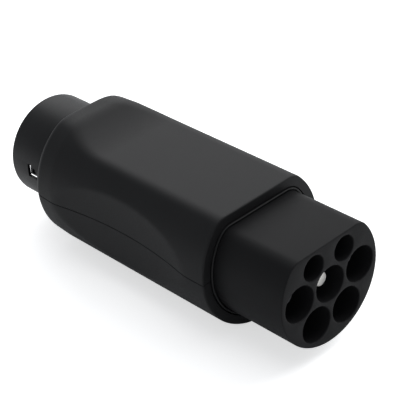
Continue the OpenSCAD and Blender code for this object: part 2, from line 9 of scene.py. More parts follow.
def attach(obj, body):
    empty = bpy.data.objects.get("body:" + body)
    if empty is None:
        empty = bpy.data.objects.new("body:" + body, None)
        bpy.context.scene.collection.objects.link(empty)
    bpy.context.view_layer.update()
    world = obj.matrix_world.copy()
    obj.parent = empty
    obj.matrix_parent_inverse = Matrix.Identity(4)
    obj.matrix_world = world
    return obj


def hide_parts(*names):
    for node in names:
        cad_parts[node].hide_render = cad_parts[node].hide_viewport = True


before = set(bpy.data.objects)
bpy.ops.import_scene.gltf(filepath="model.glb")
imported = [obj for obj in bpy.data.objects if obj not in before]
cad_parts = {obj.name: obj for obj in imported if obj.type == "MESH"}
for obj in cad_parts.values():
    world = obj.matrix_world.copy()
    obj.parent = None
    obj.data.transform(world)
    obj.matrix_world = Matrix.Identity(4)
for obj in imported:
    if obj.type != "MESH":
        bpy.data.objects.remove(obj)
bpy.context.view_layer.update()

# The camera looks down at the plug from its front left through a long lens, as in the
# photograph. It was solved from the seven wells and the plug's rim.
lens = bpy.data.cameras.new("camera")
lens.lens = 129.5
lens.sensor_width = 36
camera = bpy.data.objects.new("camera", lens)
camera.matrix_world = Matrix((
    (0.6886, -0.3437, 0.6385, 0.389233),
    (0.7201, 0.4271, -0.5468, -0.321739),
    (-0.0847, 0.8364, 0.5416, 0.359267),
    (0, 0, 0, 1),
))
bpy.context.scene.collection.objects.link(camera)
bpy.context.scene.camera = camera


# The studio is a white table under three large soft lamps. The one behind the adapter lays
# the wide grey sheen on its flat top, and the one at its right draws the bright edges. The
# table is white to the camera, and keeps a faint shadow.
def linear(colour):
    """sRGB hex colour as the linear RGBA that a socket takes."""
    parts = (int(colour[i:i + 2], 16) / 255 for i in (1, 3, 5))
    plain = [c / 12.92 if c <= 0.04045 else ((c + 0.055) / 1.055) ** 2.4 for c in parts]
    return (*plain, 1.0)


def add(tree, kind, values):
    """Adds a node. A value is a setting, a socket's number or colour, or outputs to link."""
    node = tree.nodes.new(kind)
    for name, value in values.items():
        if isinstance(name, str) and name not in node.inputs:
            setattr(node, name, value)
        elif isinstance(value, bpy.types.NodeSocket):
            tree.links.new(value, node.inputs[name])
        elif isinstance(value, list):
            for output in value:
                tree.links.new(output, node.inputs[name])
        else:
            node.inputs[name].default_value = value
    return node


def blank_material(name):
    """A material whose node tree is still empty."""
    material = bpy.data.materials.new(name)
    material.use_nodes = True
    material.node_tree.nodes.clear()
    return material, material.node_tree


bpy.context.scene.view_settings.view_transform = "Standard"
world = bpy.data.worlds.new("studio")
world.use_nodes = True
world.node_tree.nodes["Background"].inputs["Color"].default_value = linear("#e9edf2")
world.node_tree.nodes["Background"].inputs["Strength"].default_value = 0.44
bpy.context.scene.world = world

lamp_width = 1.2
lamps_aim = Vector((0, 0, 0.04))
for name, place, power in (
    ("lamp_behind", (-0.886, 0.77, 0.802), 6.4),
    ("lamp_above", (0.02, 0, 1.44), 3.9),
    ("lamp_right", (0.199, 1.129, 0.843), 10.5),
):
    lamp = bpy.data.lights.new(name, "AREA")
    lamp.size = lamp_width
    lamp.energy = power
    holder = bpy.data.objects.new(name, lamp)
    turn = (Vector(place) - lamps_aim).to_track_quat("Z", "Y")
    holder.matrix_world = Matrix.Translation(place) @ turn.to_matrix().to_4x4()
    bpy.context.scene.collection.objects.link(holder)

# White lacquered board: matt paint, with a little light of its own that only the camera sees
table_glow = 0.6
table_material, tree = blank_material("white_table")
path = add(tree, "ShaderNodeLightPath", {})
glow = add(tree, "ShaderNodeMath", {
    "operation": "MULTIPLY", 0: path.outputs["Is Camera Ray"], 1: table_glow,
})
paint = add(tree, "ShaderNodeBsdfDiffuse", {"Color": linear("#fafafa")})
light = add(tree, "ShaderNodeEmission", {"Strength": glow.outputs[0]})
both = add(tree, "ShaderNodeAddShader", {0: paint.outputs[0], 1: light.outputs[0]})
add(tree, "ShaderNodeOutputMaterial", {"Surface": both.outputs[0]})
table_reach, table_drop = 6, 0.0003
bm = bmesh.new()
bmesh.ops.create_grid(bm, x_segments=1, y_segments=1, size=table_reach)
bmesh.ops.translate(bm, verts=bm.verts, vec=(0, 0, -table_drop))
table_mesh = bpy.data.meshes.new("table")
bm.to_mesh(table_mesh)
bm.free()
table_mesh.materials.append(table_material)
table = bpy.data.objects.new("table", table_mesh)
bpy.context.scene.collection.objects.link(table)


# The grip body is two shells of black polycarbonate and ABS, moulded with a fine spark-eroded
# grain. The flat top runs into round sides, an arc climbs from it to the collar, and each side
# has a long hollow for the hand. Lengths are in mm from the plug's face and axis.
def moulded_plastic(name, dark, light, roughness, grain, sheen=0.2):
    """Moulded plastic with faint flow clouds, and a grain in mm that dulls its gloss."""
    cloud, unevenness = 18.18, 0.06
    material, tree = blank_material(name)
    place = add(tree, "ShaderNodeTexCoord", {}).outputs["Object"]
    clouds = add(tree, "ShaderNodeTexNoise", {
        "Vector": place, "Scale": 1000 / cloud, "Detail": 3.0,
    })
    pits = add(tree, "ShaderNodeTexNoise", {
        "Vector": place, "Scale": 1000 / grain, "Detail": 2.0, "Roughness": 0.6,
    })
    tone = add(tree, "ShaderNodeMix", {
        "data_type": "RGBA", "Factor": clouds.outputs["Fac"], 6: linear(dark), 7: linear(light),
    })
    gloss = add(tree, "ShaderNodeMapRange", {
        "Value": pits.outputs["Fac"], "From Min": 0.3, "From Max": 0.7,
        "To Min": roughness - unevenness, "To Max": roughness + unevenness,
    })
    bump = add(tree, "ShaderNodeBump", {
        "Height": pits.outputs["Fac"], "Strength": 0.25, "Distance": 0.00003,
    })
    skin = add(tree, "ShaderNodeBsdfPrincipled", {
        "Base Color": tone.outputs[2], "Roughness": gloss.outputs[0], "Normal": bump.outputs[0],
        "IOR": 1.5, "Specular IOR Level": sheen,
    })
    add(tree, "ShaderNodeOutputMaterial", {"Surface": skin.outputs[0]})
    return material


axis_height, half_length = 31.5, 84.55


def placed(points):
    """Points in mm from the plug's face and axis, as metres in the part's own frame."""
    return (np.asarray(points, float) + (half_length, 0, axis_height)) / 1000


def join(bm, near, far, closed=False):
    """Faces between two rows of vertices of one length."""
    count = len(near)
    for i in range(count if closed else count - 1):
        j = (i + 1) % count
        bm.faces.new((near[i], near[j], far[j], far[i]))


def sheet(bm, rows):
    """Four-sided faces between rows of points, as rows of vertices."""
    grid = [[bm.verts.new(p) for p in placed(row)] for row in rows]
    for near, far in zip(grid, grid[1:]):
        join(bm, near, far)
    return grid


def sheet_edges(bm, rows):
    """Two lines of vertices from rows of two points."""
    pairs = [[bm.verts.new(p) for p in placed(row)] for row in rows]
    return [list(line) for line in zip(*pairs)]


def skinned(bm, rows):
    """Faces through closed rows of points, where a row of one point closes an end."""
    rings = [[bm.verts.new(p) for p in placed(row)] for row in rows]
    for near, far in zip(rings, rings[1:]):
        for i in range(max(len(near), len(far))):
            corners = [
                near[i % len(near)], near[(i + 1) % len(near)],
                far[(i + 1) % len(far)], far[i % len(far)],
            ]
            bm.faces.new(list(dict.fromkeys(corners)))
    return rings


sharp_angle = math.radians(35)


def finished(name, bm, material):
    """Makes the object of a closed mesh, with its faces outwards and smooth between its edges."""
    bmesh.ops.recalc_face_normals(bm, faces=bm.faces)
    mesh = bpy.data.meshes.new(name)
    bm.to_mesh(mesh)
    bm.free()
    mesh.materials.append(material)
    mesh.shade_smooth()
    mesh.set_sharp_from_angle(angle=sharp_angle)
    piece = bpy.data.objects.new(name, mesh)
    bpy.context.scene.collection.objects.link(piece)
    return piece


def settled(piece, modifier):
    """Gives the piece the mesh that its modifier makes, and takes the modifier off."""
    seen = piece.evaluated_get(bpy.context.evaluated_depsgraph_get())
    whole = bpy.data.meshes.new_from_object(seen)
    piece.modifiers.remove(modifier)
    whole.shade_smooth()
    whole.set_sharp_from_angle(angle=sharp_angle)
    piece.data = whole


def cut_or_joined(piece, other, operation):
    """Cuts a closed mesh out of a piece, or joins it to the piece."""
    tool = finished("tool", other, piece.data.materials[0])
    change = piece.modifiers.new("change", "BOOLEAN")
    change.operation, change.solver, change.object = operation, "EXACT", tool
    settled(piece, change)
    bpy.data.objects.remove(tool)


def stands_in(piece, node):
    """Puts the piece in a CAD node's place, with its slot."""
    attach(piece, "root")
    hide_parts(node)


def rounded_off(a, b, reach):
    """The larger of two distances, smoothed over a reach in mm where they meet."""
    return np.maximum(a, b) + np.maximum(reach - np.abs(a - b), 0) ** 2 / (4 * reach)


body_front, body_rear, body_r, body_top = -36.4, -142.5, 32.55, 24.8
ramp_foot, ramp_r, ramp_crease = -107, 60, 1.2
ridge, collar_len, collar_top, collar_taper = -130.5, 12, 29.59, 0.7
scoop_middle, scoop_r, scoop_depth = -88, 190, 4.25
top_crease, scoop_crease, foot_crease = 2, 0.5, 0.5


def outside_body(x, y, z):
    """About how far in mm a point lies outside the grip body."""
    sides = np.hypot(y, z) - body_r + collar_taper * np.clip((ridge - x) / collar_len, 0, 1)
    climb = ramp_r - np.hypot(x - ramp_foot, z - body_top - ramp_r)
    ramp = np.where(x < ramp_foot, climb, z - body_top)
    top = rounded_off(ramp, z - collar_top, ramp_crease)
    scoop_line = body_r + scoop_r - scoop_depth
    hollow = scoop_r - np.hypot(x - scoop_middle, np.abs(y) - scoop_line)
    form = rounded_off(rounded_off(sides, top, top_crease), hollow, scoop_crease)
    return rounded_off(form, -axis_height - z, foot_crease)


def reach_inside(count, is_outside, furthest=45.0, halvings=36):
    """How far each of a count of rays runs inside a form, found by halving the way."""
    near, far = np.zeros(count), np.full(count, furthest)
    for _ in range(halvings):
        reach = (near + far) / 2
        out = is_outside(reach)
        near, far = np.where(out, near, reach), np.where(out, reach, far)
    return near


def body_row(x, inset, turns, lift, hand):
    """Points round the body at one place along it, drawn in by an inset."""
    across, upwards = np.cos(turns), np.sin(turns)

    def is_outside(reach):
        return outside_body(x, reach * across, hand * (lift + reach * upwards)) > -inset

    reach = reach_inside(len(turns), is_outside)
    return np.column_stack([
        np.full(len(turns), x), reach * across, hand * (lift + reach * upwards),
    ])


def circle_row(x, r, turns, centre=(0, 0)):
    """Points round a circle that stands across the length."""
    return np.column_stack([
        np.full(len(turns), x), centre[0] + r * np.cos(turns), centre[1] + r * np.sin(turns),
    ])


def corner_of(r, top, corner):
    """How far aside a flat top's corner has its centre, and the turns where it begins and ends."""
    side = math.sqrt((r - corner) ** 2 - (top - corner) ** 2)
    return side, math.atan2(top - corner, side), math.atan2(top, side)


def flat_topped_row(x, r, top, corner, turns, hand=1):
    """Points round a circle that has a flat top with rounded corners."""
    across, upwards = np.cos(turns), hand * np.sin(turns)
    side, begins, ends = corner_of(r, top, corner)
    rise = top - corner
    turn = np.arctan2(upwards, np.abs(across))
    along = np.abs(across) * side + upwards * rise
    bend = along + np.sqrt(np.maximum(along ** 2 - side ** 2 - rise ** 2 + corner ** 2, 0))
    reach = np.where(turn > begins, bend, float(r))
    reach = np.where(turn > ends, top / np.maximum(upwards, 1e-6), reach)
    return np.column_stack([np.full(len(turns), x), reach * across, reach * upwards])


wall, parting_edge, front_edge, rear_edge = 2.8, 0.3, 0.6, 4
mouth_r, mouth_top, mouth_corner, rear_mouth_r = 28.6, 20.9, 8.7, 23.65
rib, rib_high, front_rib, rear_rib = 2.5, 2.4, -44.3, -134


def shell_half(name, hand, material):
    """One shell as a closed wall: hand is 1 above the parting plane and -1 below it."""
    turns = np.radians(np.concatenate([[0], np.linspace(1.2, 178.8, 170), [180]]))
    flat = turns[[0, -1]]
    plain = np.zeros(len(turns))
    lift = plain.copy()
    lift[[0, -1]] = parting_edge
    mouth = turns.copy()
    mouth[0], mouth[-1] = parting_edge / mouth_r, math.pi - parting_edge / mouth_r

    def front_mouth(x, angles):
        return flat_topped_row(x, mouth_r, mouth_top, mouth_corner, angles, hand)

    def rear_mouth(x, angles):
        return circle_row(x, rear_mouth_r, hand * angles)

    def along(spans):
        return [(x, 0) for span in spans for x in np.linspace(*span)]

    skin = [
        (body_front - front_edge * (1 - math.cos(a)), front_edge * (1 - math.sin(a)))
        for a in np.linspace(0, math.pi / 2, 6)
    ]
    # From front to rear, with the points closest where the ramp and the rear edge bend
    skin += along([
        (-37, -100, 62), (-101, -112, 14), (-113, -126, 14), (-126.6, -134.4, 14),
        (-135.2, -138.4, 4),
    ])[1:]
    skin += [
        (body_rear + rear_edge * (1 - math.sin(a)), rear_edge * (1 - math.cos(a)))
        for a in np.linspace(0, math.pi / 2, 10)
    ]
    bm = bmesh.new()
    outer = [front_mouth(body_front, mouth)]
    outer += [body_row(x, inset, turns, lift, hand) for x, inset in skin]
    outer = sheet(bm, outer + [rear_mouth(body_rear, mouth)])

    hollow = [(body_front - wall, 0)]
    for start, after in ((front_rib, [(-50, -100, 20), (-103, -132, 18)]), (rear_rib, [])):
        hollow += [(start, 0), (start, rib_high), (start - rib, rib_high), (start - rib, 0)]
        hollow += along(after)
    hollow.append((body_rear + wall, 0))
    inner = [front_mouth(body_front - wall, turns)]
    inner += [body_row(x, wall + more, turns, plain, hand) for x, more in hollow]
    inner = sheet(bm, inner + [rear_mouth(body_rear + wall, turns)])

    join(bm, outer[0], inner[0])
    join(bm, outer[-1], inner[-1])
    lip_front, lip_rear = body_front - parting_edge, body_rear + parting_edge
    lip = [front_mouth(lip_front, flat)]
    for x, inset in skin:
        x = min(max(x, lip_rear), lip_front)
        lip.append(body_row(x, inset + parting_edge, flat, plain[:2], hand))
    lip = sheet_edges(bm, lip + [rear_mouth(lip_rear, flat)])
    for side, edge in zip((0, -1), lip):
        join(bm, [row[side] for row in outer], edge)
        bm.faces.new(edge + [row[side] for row in inner][::-1])
        for end in (0, -1):
            bm.faces.new((outer[end][side], edge[end], inner[end][side]))
    return finished(name, bm, material)


def full_turn(steps):
    """Angles of a full circle, without the last."""
    return np.linspace(0, 2 * math.pi, steps, endpoint=False)


boss_r = 4.6


def boss(bm, place, hand):
    """A screw boss from the parting plane into the middle of the wall."""
    turns = full_turn(40)
    x, y = place[0] + boss_r * np.cos(turns), place[1] + boss_r * np.sin(turns)
    reach = reach_inside(len(turns), lambda z: outside_body(x, y, hand * z) > -wall / 2)
    foot = np.column_stack([x, y, hand * reach])
    skinned(bm, [[(*place, 0)], np.column_stack([x, y, 0 * x]), foot, [foot.mean(axis=0)]])


def upright(bm, place, outline):
    """A solid turned about an upright line at [x, y], from its outline as (z, radius) pairs."""
    rows = []
    for z, r in outline:
        turns = full_turn(40) if r else np.zeros(1)
        rows.append(np.column_stack([
            place[0] + r * np.cos(turns), place[1] + r * np.sin(turns), np.full(len(turns), z),
        ]))
    skinned(bm, rows)


# Polycarbonate and ABS with eroded grain: a wide soft sheen, and no clear reflection. The real
# grain of about 0.05 mm is too fine to show, so it is drawn at 0.45 mm.
shell_plastic = moulded_plastic(
    "black_polycarbonate_abs_fine_grain", "#161617", "#1c1c1d", roughness=0.5, grain=0.45)
screw_places = [(x, y) for x in (-81.4, -121.4) for y in (-18, 18)]
screw_seat, counterbore_r, clear_r = -18, 2.9, 1.65
pilot_r, pilot_tip_r, pilot_end, pilot_tip_len = 1.55, 1, 9, 0.4
past_joint, below_shell = 5, -40
screw_holes = {
    1: [
        (-past_joint, 0), (-past_joint, pilot_r), (pilot_end - pilot_tip_len, pilot_r),
        (pilot_end, pilot_tip_r), (pilot_end, 0),
    ],
    -1: [
        (below_shell, 0), (below_shell, counterbore_r), (screw_seat, counterbore_r),
        (screw_seat, clear_r), (past_joint, clear_r), (past_joint, 0),
    ],
}
for node, hand in (("upper_shell", 1), ("lower_shell", -1)):
    shell = shell_half(node + "_skin", hand, shell_plastic)
    bosses, holes = bmesh.new(), bmesh.new()
    for place in screw_places:
        boss(bosses, place, hand)
        upright(holes, place, screw_holes[hand])
    cut_or_joined(shell, bosses, "UNION")
    cut_or_joined(shell, holes, "DIFFERENCE")
    stands_in(shell, node)


# Four thread-forming screws of zinc-plated steel hold the shells together from below. They
# sit deep in counterbores, so only their heads with six-sided sockets show. One node tree
# builds them, and the smaller ones that hold the plates inside.
def band_scale(pitch):
    """Scale of a wave texture whose bands lie a pitch in mm apart."""
    return 100 * math.pi / pitch


def plated(name, colour, roughness, pitch):
    """Turned and plated metal: fine rings from the lathe round its length, and a soft gloss."""
    smear_size, unevenness, shade = 2.5, 0.08, 0.85
    material, tree = blank_material(name)
    place = add(tree, "ShaderNodeTexCoord", {}).outputs["Object"]
    rings = add(tree, "ShaderNodeTexWave", {
        "Vector": place, "bands_direction": "X", "Scale": band_scale(pitch),
        "Distortion": 0.6, "Detail": 2.0,
    })
    smear = add(tree, "ShaderNodeTexNoise", {
        "Vector": place, "Scale": 1000 / smear_size, "Detail": 3.0,
    })
    gloss = add(tree, "ShaderNodeMapRange", {
        "Value": smear.outputs["Fac"],
        "To Min": roughness - unevenness, "To Max": roughness + unevenness,
    })
    bright = linear(colour)
    dull = tuple(shade * c for c in bright[:3]) + (1,)
    tone = add(tree, "ShaderNodeMix", {
        "data_type": "RGBA", "Factor": smear.outputs["Fac"], 6: bright, 7: dull,
    })
    bump = add(tree, "ShaderNodeBump", {
        "Height": rings.outputs["Fac"], "Strength": 0.2, "Distance": 0.00001,
    })
    skin = add(tree, "ShaderNodeBsdfPrincipled", {
        "Base Color": tone.outputs[2], "Metallic": 1.0, "Roughness": gloss.outputs[0],
        "Normal": bump.outputs[0],
    })
    add(tree, "ShaderNodeOutputMaterial", {"Surface": skin.outputs[0]})
    return material


screw_sizes = ("Head Radius", "Head Height", "Shank Radius", "Length")


def screw_tree(material):
    """Puts a pan-head screw at each point, its head along the direction. Sizes are in metres."""
    tree = bpy.data.node_groups.new("pan_head_screws", "GeometryNodeTree")
    tree.interface.new_socket("Places", in_out="INPUT", socket_type="NodeSocketGeometry")
    for name in screw_sizes:
        tree.interface.new_socket(name, in_out="INPUT", socket_type="NodeSocketFloat")
    tree.interface.new_socket("Direction", in_out="INPUT", socket_type="NodeSocketVector")
    tree.interface.new_socket("Screws", in_out="OUTPUT", socket_type="NodeSocketGeometry")
    given = add(tree, "NodeGroupInput", {}).outputs
    head_r, head_h, shank_r, length = (given[name] for name in screw_sizes)

    # Each size of the screw's parts is a share of one that is given
    part = {}
    for name, whole, share in (
        ("rim height", head_h, 0.7), ("rim middle", head_h, 0.35),
        ("crown height", head_h, 0.3), ("crown top", head_r, 0.84),
        ("socket radius", head_r, 0.5), ("socket depth", head_h, 1.3),
        ("core radius", shank_r, 0.86), ("core middle", length, -0.5),
        ("thread radius", shank_r, 0.84), ("thread pitch", shank_r, 0.7),
        ("thread flank", shank_r, 0.15), ("thread length", length, 0.8),
        ("thread end", length, -0.92),
    ):
        values = {"operation": "MULTIPLY", 0: whole, 1: share}
        part[name] = add(tree, "ShaderNodeMath", values).outputs[0]

    def lifted(shape, height):
        move = add(tree, "ShaderNodeCombineXYZ", {"Z": height}).outputs[0]
        values = {"Geometry": shape, "Translation": move}
        return add(tree, "GeometryNodeTransform", values).outputs[0]

    def bar(corners, radius, depth, middle):
        values = {"Vertices": corners, "Radius": radius, "Depth": depth}
        return lifted(add(tree, "GeometryNodeMeshCylinder", values).outputs["Mesh"], middle)

    crown = add(tree, "GeometryNodeMeshCone", {
        "Vertices": 32, "Radius Bottom": head_r, "Radius Top": part["crown top"],
        "Depth": part["crown height"],
    }).outputs["Mesh"]
    rim = bar(32, head_r, part["rim height"], part["rim middle"])
    core = bar(24, part["core radius"], length, part["core middle"])
    blank = add(tree, "GeometryNodeMeshBoolean", {
        "operation": "UNION", "Mesh 2": [rim, lifted(crown, part["rim height"]), core],
    }).outputs["Mesh"]
    socket = bar(6, part["socket radius"], part["socket depth"], head_h)
    blank = add(tree, "GeometryNodeMeshBoolean", {
        "operation": "DIFFERENCE", "Mesh 1": blank, "Mesh 2": [socket],
    }).outputs["Mesh"]
    rounds = add(tree, "ShaderNodeMath", {
        "operation": "DIVIDE", 0: part["thread length"], 1: part["thread pitch"],
    }).outputs[0]
    spiral = add(tree, "GeometryNodeCurveSpiral", {
        "Resolution": 20, "Rotations": rounds, "Height": part["thread length"],
        "Start Radius": part["thread radius"], "End Radius": part["thread radius"],
    }).outputs[0]
    flank = add(tree, "GeometryNodeCurvePrimitiveCircle", {
        "Resolution": 3, "Radius": part["thread flank"],
    }).outputs[0]
    thread = add(tree, "GeometryNodeCurveToMesh", {
        "Curve": spiral, "Profile Curve": flank, "Fill Caps": True,
    }).outputs[0]
    screw = add(tree, "GeometryNodeJoinGeometry", {
        "Geometry": [blank, lifted(thread, part["thread end"])],
    }).outputs[0]
    aim = add(tree, "FunctionNodeAlignRotationToVector", {
        "axis": "Z", "Vector": given["Direction"],
    }).outputs[0]
    set_out = add(tree, "GeometryNodeInstanceOnPoints", {
        "Points": given["Places"], "Instance": screw, "Rotation": aim,
    }).outputs[0]
    real = add(tree, "GeometryNodeRealizeInstances", {"Geometry": set_out}).outputs[0]
    done = add(tree, "GeometryNodeSetMaterial", {"Geometry": real, "Material": material})
    add(tree, "NodeGroupOutput", {"Screws": done.outputs[0]})
    return tree


def screws(node, places, sizes, direction):
    """A set of screws in a CAD node's place, with the four screw sizes in mm."""
    points = bpy.data.meshes.new(node)
    points.from_pydata([tuple(p) for p in placed(places)], [], [])
    piece = bpy.data.objects.new(node + "_made", points)
    bpy.context.scene.collection.objects.link(piece)
    maker = piece.modifiers.new("screws", "NODES")
    maker.node_group = pan_head_screws
    inputs = (item for item in pan_head_screws.interface.items_tree if item.in_out == "INPUT")
    sockets = {item.name: item.identifier for item in inputs}
    for name, size in zip(screw_sizes, sizes):
        maker[sockets[name]] = size / 1000
    maker[sockets["Direction"]] = direction
    settled(piece, maker)
    stands_in(piece, node)


# Zinc-plated steel: light grey with a soft gloss, and faint rings from the lathe. The real
# rings of about 0.1 mm are drawn 0.6 mm apart to show.
zinc_steel = plated("zinc_plated_steel", "#b9bcc0", roughness=0.35, pitch=0.592)
pan_head_screws = screw_tree(zinc_steel)
seats = [(x, y, screw_seat) for x, y in screw_places]
screws("shell_screws", seats, (2.75, 2.2, 1.5, 26), (0, 0, -1))


# The plug's insulator is one block of black glass-filled polyamide with seven wells, moulded
# in a fine-blasted tool. Its edges are just rounded, and its flange is trapped in the shells.
def bore(bm, mouth_x, rear_x, centre, r, edge, steps=56):
    """A round well with a rounded mouth, as its first and last ring of vertices."""
    inwards = math.copysign(edge, rear_x - mouth_x)
    rings = [
        (mouth_x + inwards * (1 - math.cos(a)), r + edge * (1 - math.sin(a)))
        for a in np.linspace(0, math.pi / 2, 5)
    ]
    rings.append((rear_x, r))
    grid = skinned(bm, [circle_row(x, radius, full_turn(steps), centre) for x, radius in rings])
    return grid[0], grid[-1]


def fill_flat(bm, loops):
    """A flat face inside the first loop of vertices, with the other loops left open."""
    edges = []
    for loop in loops:
        for a, b in zip(loop, loop[1:] + loop[:1]):
            edges.append(bm.edges.get((a, b)) or bm.edges.new((a, b)))
    bmesh.ops.triangle_fill(bm, use_beauty=True, use_dissolve=False, edges=edges)


def block_with_wells(name, rows, wells, material):
    """A block skinned through rows, with wells as (centre, radius, edge, steps) from end to end."""
    bm = bmesh.new()
    grid = skinned(bm, rows)
    face_x, rear_x = rows[0][0][0], rows[-1][0][0]
    ends = [bore(bm, face_x, rear_x, *well) for well in wells]
    fill_flat(bm, [grid[0]] + [mouth for mouth, _ in ends])
    fill_flat(bm, [grid[-1]] + [rear for _, rear in ends])
    return finished(name, bm, material)


nose_r, nose_top, nose_corner, nose_edge = 26.9, 19.2, 7, 0.5
_, corner_begins, corner_ends = corner_of(nose_r, nose_top, nose_corner)
right_side = np.concatenate([
    np.linspace(-math.pi / 2, corner_begins, 62), np.linspace(corner_begins, corner_ends, 10)[1:],
    np.linspace(corner_ends, math.pi / 2, 16)[1:],
])
round_plug = np.concatenate([right_side, math.pi - right_side[::-1][1:-1]])


def plug_row(x, out=0):
    """Points round the plug at one place along it, a distance outside its sides."""
    return flat_topped_row(x, nose_r + out, nose_top + out, nose_corner + out, round_plug)


# Glass-filled polyamide from a blasted tool: matt, with less sheen than the shells, and so
# even that only the rounded edges draw a line. Its grain is drawn coarser than the real one.
nose_plastic = moulded_plastic(
    "black_polyamide_satin", "#161617", "#1c1c1d", roughness=0.5, grain=0.35, sheen=0.12)
flange_front, flange_rear, flange_low = -40.2, -44.2, -28.35
flange_r, flange_top, flange_corner = 29.4, 21.65, 9
well_pitch, low_row, signal_row = 17, -14.722, 12
power_well_r, power_well_edge, signal_well_r, signal_well_edge = 7.75, 0.4, 5.45, 0.35
rows = [
    plug_row(-nose_edge * (1 - math.cos(a)), -nose_edge * (1 - math.sin(a)))
    for a in np.linspace(0, math.pi / 2, 5)
]
rows.append(plug_row(flange_front))
for x in (flange_front, flange_rear):
    row = flat_topped_row(x, flange_r, flange_top, flange_corner, round_plug)
    row[:, 2] = np.maximum(row[:, 2], flange_low)
    rows.append(row)
middle_row = [(side * well_pitch, 0) for side in (-1, 1, 0)]
spare_row = [(side * well_pitch / 2, low_row) for side in (-1, 1)]
top_row = [(side * well_pitch / 2, signal_row) for side in (-1, 1)]
wells = [(centre, power_well_r, power_well_edge) for centre in middle_row + spare_row]
wells += [(centre, signal_well_r, signal_well_edge) for centre in top_row]
nose = block_with_wells("plug_block", rows, wells, nose_plastic)
stands_in(nose, "nose_body")


# A ring of black silicone rubber lies round the plug in a groove of the body's front face. Its
# foot is trapped between the flange and the shells, and its thin lip seals on the vehicle.
def rounded(outline, steps=4):
    """Corners in mm as (along, out, edge), turned into points with each corner rounded."""
    points = []
    for i, (along, out, edge) in enumerate(outline):
        here = np.array((along, out), float)
        if not edge:
            points.append(tuple(here))
            continue
        ways = [np.array(outline[j % len(outline)][:2], float) - here for j in (i - 1, i + 1)]
        before, after = (way / np.linalg.norm(way) for way in ways)
        half = math.acos(before @ after) / 2
        middle = (before + after) / np.linalg.norm(before + after)
        centre = here + middle * edge / math.sin(half)
        start, end = (here + way * edge / math.tan(half) - centre for way in (before, after))
        turn = math.pi - 2 * half
        for part in np.linspace(0, 1, steps + 1):
            offset = math.sin((1 - part) * turn) * start + math.sin(part * turn) * end
            points.append(tuple(centre + offset / math.sin(turn)))
    return points


# Silicone rubber: deep black with a dull, wide gloss. Its grain is drawn coarse to show.
seal_rubber = moulded_plastic(
    "black_silicone_rubber", "#131314", "#19191a", roughness=0.55, grain=0.5, sheen=0.35)
lip_front, foot_front, lip_inside, lip_outside, foot_outside = -35.9, -39.2, 0.3, 1.1, 2.3
rows = [plug_row(x, out) for x, out in rounded([
    (flange_front, foot_outside, 0.15), (foot_front, foot_outside, 0.15),
    (foot_front, lip_outside, 0.2), (lip_front, lip_outside, 0.3),
    (lip_front, lip_inside, 0.3), (flange_front, lip_inside, 0.1),
])]
for row in rows:
    row[:, 2] = np.maximum(row[:, 2], flange_low)
bm = bmesh.new()
rings = skinned(bm, rows)
join(bm, rings[-1], rings[0], closed=True)
seal = finished("seal_ring", bm, seal_rubber)
stands_in(seal, "nose_seal")


# The contacts of the plug are turned from brass and silver plated. Each has a thicker part
# that sits in its hole, a collar that the retainer traps, and a cup for the lead's core. The
# earth pin stands furthest forward, so its flat end catches the light in the middle well.
def turned(bm, centre, outline, steps=48, loop=False):
    """A solid turned about a line along X, from its outline as (x, radius) pairs."""
    rows = [
        circle_row(x, r, full_turn(steps) if r > 1e-6 else np.zeros(1), centre)
        for x, r in outline
    ]
    rings = skinned(bm, rows)
    if loop:
        join(bm, rings[-1], rings[0], closed=True)


def turned_piece(node, centre, outline, material, steps=48):
    """A turned piece in a CAD node's place, from its outline as (x, radius, edge) corners."""
    bm = bmesh.new()
    turned(bm, centre, rounded(outline), steps)
    piece = finished(node + "_turned", bm, material)
    stands_in(piece, node)


# Silver plate on brass: nearly white and only half glossy, so a pin's end shows as an even
# light spot. The lathe's rings are drawn 0.4 mm apart, coarser than real.
silver = plated("silver_plated_brass", "#fbf9f5", roughness=0.52, pitch=0.395)
well_floor, collar_front, carrier_rear, plug_tail_end = -34, -45.2, -48.2, -60.7
pin_step, plug_collar, tail_step, cup_depth = 0.5, 1.5, 0.4, 5.5
power_pin_r, signal_pin_r, power_core_r, signal_core_r = 3, 1.5, 1.65, 0.55
earth_tip, signal_tip = -4.8, -13


def plug_tail(r, core):
    """The hidden part of a plug pin, from the floor of its well to its cup."""
    cup_floor = plug_tail_end + cup_depth
    return [
        (well_floor, r, 0), (well_floor, r + pin_step, 0.1),
        (collar_front, r + pin_step, 0), (collar_front, r + plug_collar, 0.2),
        (carrier_rear, r + plug_collar, 0.2), (carrier_rear, r - tail_step, 0),
        (plug_tail_end, r - tail_step, 0.2), (plug_tail_end, core, 0.1),
        (cup_floor, core, 0), (cup_floor, 0, 0),
    ]


power_tail = plug_tail(power_pin_r, power_core_r)
signal_tail = plug_tail(signal_pin_r, signal_core_r)
outline = [(earth_tip, 0, 0), (earth_tip, power_pin_r, 0.25), *power_tail]
turned_piece("plug_pin_pe", (0, 0), outline, silver)
outline = [(signal_tip, 0, 0), (signal_tip, signal_pin_r, 0.45), *signal_tail]
for node, centre in zip(("plug_pin_cp", "plug_pin_cc"), top_row):
    turned_piece(node, centre, outline, silver, steps=32)


# The two power pins end in a thin stem under a cap of dark plastic, so that a finger in the
# well can't touch live metal.
cap_tip, cap_floor, cap_rear, stem_tip, stem_r, stem_gap = -6.6, -7.55, -10.2, -7.6, 1.5, 0.02
cap_bore_r = stem_r + stem_gap
